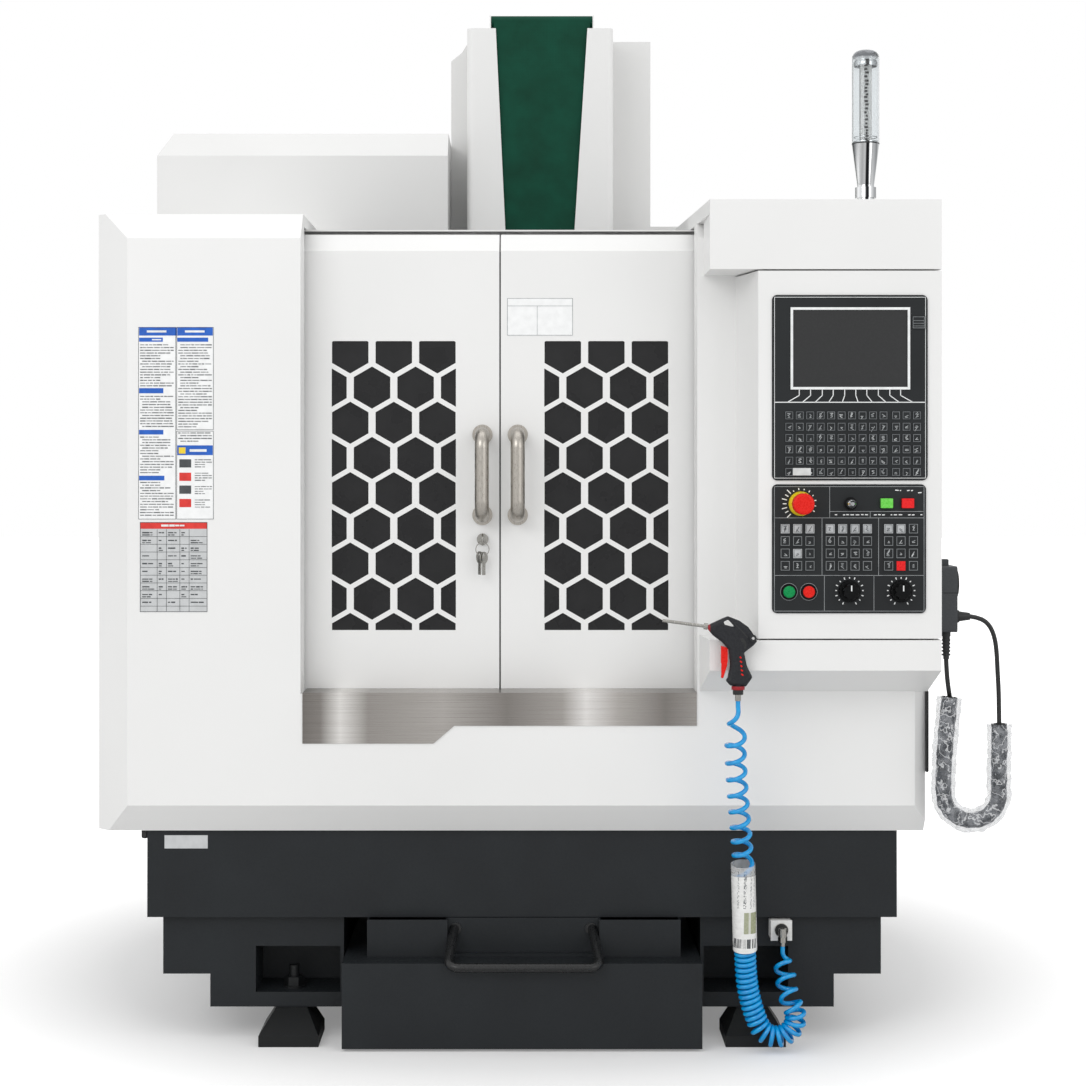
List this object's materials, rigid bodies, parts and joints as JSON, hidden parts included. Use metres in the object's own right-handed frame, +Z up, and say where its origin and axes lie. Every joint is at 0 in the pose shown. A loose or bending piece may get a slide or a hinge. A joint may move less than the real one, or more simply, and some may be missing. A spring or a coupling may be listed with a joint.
{
  "type": "cnc machining center",
  "caption": "Compact vertical machining center with sliding honeycomb-window doors, control panel, spindle head over a moving table, coolant tank, chip drawer and air gun on a coiled hose.",
  "frame": {"origin": "on the floor under the middle of the machine", "axes": "+Z up, the front faces -Y, +X is to the right seen from the front"},
  "size_m": [1.78, 1.9, 2.182],
  "materials": {
    "white_paint": "semi-gloss powder coat, light orange peel",
    "rear_paint": "semi-gloss powder coat",
    "dark_paint": "dark grey textured paint",
    "casting_paint": "dark grey machine paint on casting",
    "inner_casting": "painted and machined casting",
    "stainless": "brushed stainless sheet",
    "satin_bar": "satin stainless bar",
    "zinc": "bright plated steel",
    "foot_steel": "black painted steel",
    "bearing_steel": "ground steel",
    "dark_pane": "tinted polycarbonate pane",
    "panel_black": "matt black panel with bedded keys",
    "knob_black": "black moulded knob",
    "red_plastic": "red moulded plastic",
    "green_plastic": "green moulded plastic",
    "green_key": "light green translucent key",
    "yellow_plastic": "yellow moulded plastic",
    "lamp_chrome": "chrome plated",
    "lamp_clear": "clear acrylic tube",
    "curtain_green": "coated cloth, dark green",
    "outlet_white": "white moulded plastic",
    "pendant_charcoal": "charcoal moulded plastic",
    "gland_black": "black nylon gland",
    "cord_black": "black cable sheath",
    "film": "clear crinkled film",
    "gun_grey": "dark grey moulded plastic",
    "hose_blue": "blue polyurethane hose",
    "label_white": "blank white sleeve",
    "brass_fitting": "nickel plated brass"
  },
  "bodies": {
    "machine": {"bed_casting": "casting_paint", "bed_legs": "casting_paint", "splash_tray": "dark_paint", "levelling_feet": "foot_steel", "column_casting": "inner_casting", "left_enclosure_shell": "white_paint", "right_enclosure_shell": "white_paint", "door_tracks": "rear_paint", "sill_strip": "stainless", "control_box": "white_paint", "control_hood": "white_paint", "control_shelf": "white_paint", "display_unit": "panel_black", "operator_panel": "panel_black", "estop_collar": "yellow_plastic", "lamp_base": "lamp_chrome", "lamp_tube": "lamp_clear", "magazine_cover": "rear_paint", "column_front_cover": "white_paint", "column_rear_cover": "rear_paint", "dust_curtain": "curtain_green", "rear_cabinet": "rear_paint", "air_outlet_block": "outlet_white", "pendant_body": "pendant_charcoal", "air_gun_body": "gun_grey", "air_gun_nozzle": "zinc", "pendant_glands": "gland_black", "pendant_cord": "cord_black", "cord_film_wrap": "film", "gun_fitting": "brass_fitting", "air_hose": "hose_blue", "hose_label_sleeve": "label_white", "hose_connector": "brass_fitting"},
    "left_door": {"left_door_panel": "white_paint", "left_door_window": "dark_pane", "left_door_handle": "satin_bar"},
    "right_door": {"right_door_panel": "white_paint", "right_door_window": "dark_pane", "right_door_handle": "satin_bar"},
    "key_lock": {"door_lock": "zinc"},
    "saddle": {"saddle": "inner_casting"},
    "table": {"work_table": "inner_casting"},
    "head": {"spindle_head": "inner_casting"},
    "spindle": {"spindle_nose": "bearing_steel"},
    "carousel": {"tool_carousel": "inner_casting"},
    "estop": {"estop_button": "red_plastic"},
    "start_key": {"start_button": "green_plastic"},
    "hold_key": {"hold_button": "red_plastic"},
    "power_on_key": {"power_on_button": "green_key"},
    "power_off_key": {"power_off_button": "red_plastic"},
    "feed_override": {"feed_knob": "knob_black"},
    "spindle_override": {"spindle_knob": "knob_black"},
    "memory_switch": {"mode_switch": "zinc"},
    "trigger": {"gun_trigger": "red_plastic"},
    "hand_wheel": {"pendant_dial": "knob_black"},
    "tank": {"coolant_tank": "dark_paint"},
    "drawer": {"chip_drawer": "dark_paint", "drawer_handle": "knob_black"},
    "rear_door": {"cabinet_door": "rear_paint"},
    "roller": {"curtain_roller": "curtain_green"}
  },
  "joints": [
    {"name": "left_door_slide", "type": "slide", "parent": "machine", "child": "left_door", "axis": [-1, 0, 0], "range_m": [0, 0.325]},
    {"name": "right_door_slide", "type": "slide", "parent": "machine", "child": "right_door", "axis": [1, 0, 0], "range_m": [0, 0.325]},
    {"name": "lock_turn", "type": "hinge", "parent": "left_door", "child": "key_lock", "pos_m": [-0.078, -0.675, 0.985], "axis": [0, -1, 0], "range_deg": [0, 90]},
    {"name": "saddle_slide", "type": "slide", "parent": "machine", "child": "saddle", "axis": [0, 1, 0], "range_m": [-0.2, 0.2]},
    {"name": "table_slide", "type": "slide", "parent": "saddle", "child": "table", "axis": [1, 0, 0], "range_m": [-0.24, 0.24]},
    {"name": "head_slide", "type": "slide", "parent": "machine", "child": "head", "axis": [0, 0, 1], "range_m": [-0.3, 0], "deforming": ["dust_curtain"]},
    {"name": "spindle_turn", "type": "hinge", "parent": "head", "child": "spindle", "pos_m": [0.042, -0.2, 1.24], "axis": [0, 0, 1], "continuous": true},
    {"name": "carousel_turn", "type": "hinge", "parent": "machine", "child": "carousel", "pos_m": [-0.5, -0.15, 1.48], "axis": [0, 0, 1], "continuous": true},
    {"name": "estop_push", "type": "slide", "parent": "machine", "child": "estop", "axis": [0, 1, 0], "range_m": [0, 0.003]},
    {"name": "start_push", "type": "slide", "parent": "machine", "child": "start_key", "axis": [0, 1, 0], "range_m": [0, 0.003], "stiffness_N_per_m": 600, "springref_m": -0.001},
    {"name": "hold_push", "type": "slide", "parent": "machine", "child": "hold_key", "axis": [0, 1, 0], "range_m": [0, 0.003], "stiffness_N_per_m": 600, "springref_m": -0.001},
    {"name": "power_on_push", "type": "slide", "parent": "machine", "child": "power_on_key", "axis": [0, 1, 0], "range_m": [0, 0.003], "stiffness_N_per_m": 600, "springref_m": -0.001},
    {"name": "power_off_push", "type": "slide", "parent": "machine", "child": "power_off_key", "axis": [0, 1, 0], "range_m": [0, 0.003], "stiffness_N_per_m": 600, "springref_m": -0.001},
    {"name": "feed_knob_turn", "type": "hinge", "parent": "machine", "child": "feed_override", "pos_m": [0.6135, -0.903, 0.895], "axis": [0, 1, 0], "range_deg": [-135, 135]},
    {"name": "spindle_knob_turn", "type": "hinge", "parent": "machine", "child": "spindle_override", "pos_m": [0.7103, -0.903, 0.895], "axis": [0, 1, 0], "range_deg": [-135, 135]},
    {"name": "mode_switch_tilt", "type": "hinge", "parent": "machine", "child": "memory_switch", "pos_m": [0.615, -0.903, 1.059], "axis": [1, 0, 0], "range_deg": [-15, 15]},
    {"name": "trigger_squeeze", "type": "hinge", "parent": "machine", "child": "trigger", "pos_m": [0.378, -0.92, 0.78856], "axis": [0, -1, 0], "range_deg": [0, 8], "stiffness_Nm_per_rad": 1, "springref_deg": -2.86},
    {"name": "hand_wheel_turn", "type": "hinge", "parent": "machine", "child": "hand_wheel", "pos_m": [0.829, -0.8, 0.905], "axis": [1, 0, 0], "continuous": true},
    {"name": "tank_slide", "type": "slide", "parent": "machine", "child": "tank", "axis": [0, -1, 0], "range_m": [0, 0.6]},
    {"name": "drawer_slide", "type": "slide", "parent": "tank", "child": "drawer", "axis": [0, -1, 0], "range_m": [0, 0.4]},
    {"name": "rear_door_swing", "type": "hinge", "parent": "machine", "child": "rear_door", "pos_m": [0.509, 0.924, 1.09], "axis": [0, 0, -1], "range_deg": [0, 110]},
    {"name": "roller_turn", "type": "hinge", "parent": "machine", "child": "roller", "pos_m": [0.046, 0.085, 2.167], "axis": [1, 0, 0], "range_deg": [0, 1150]}
  ],
  "couplings": [
    {"joint": "roller_turn", "follows": "head_slide", "rad_per_m": -66.667}
  ]
}
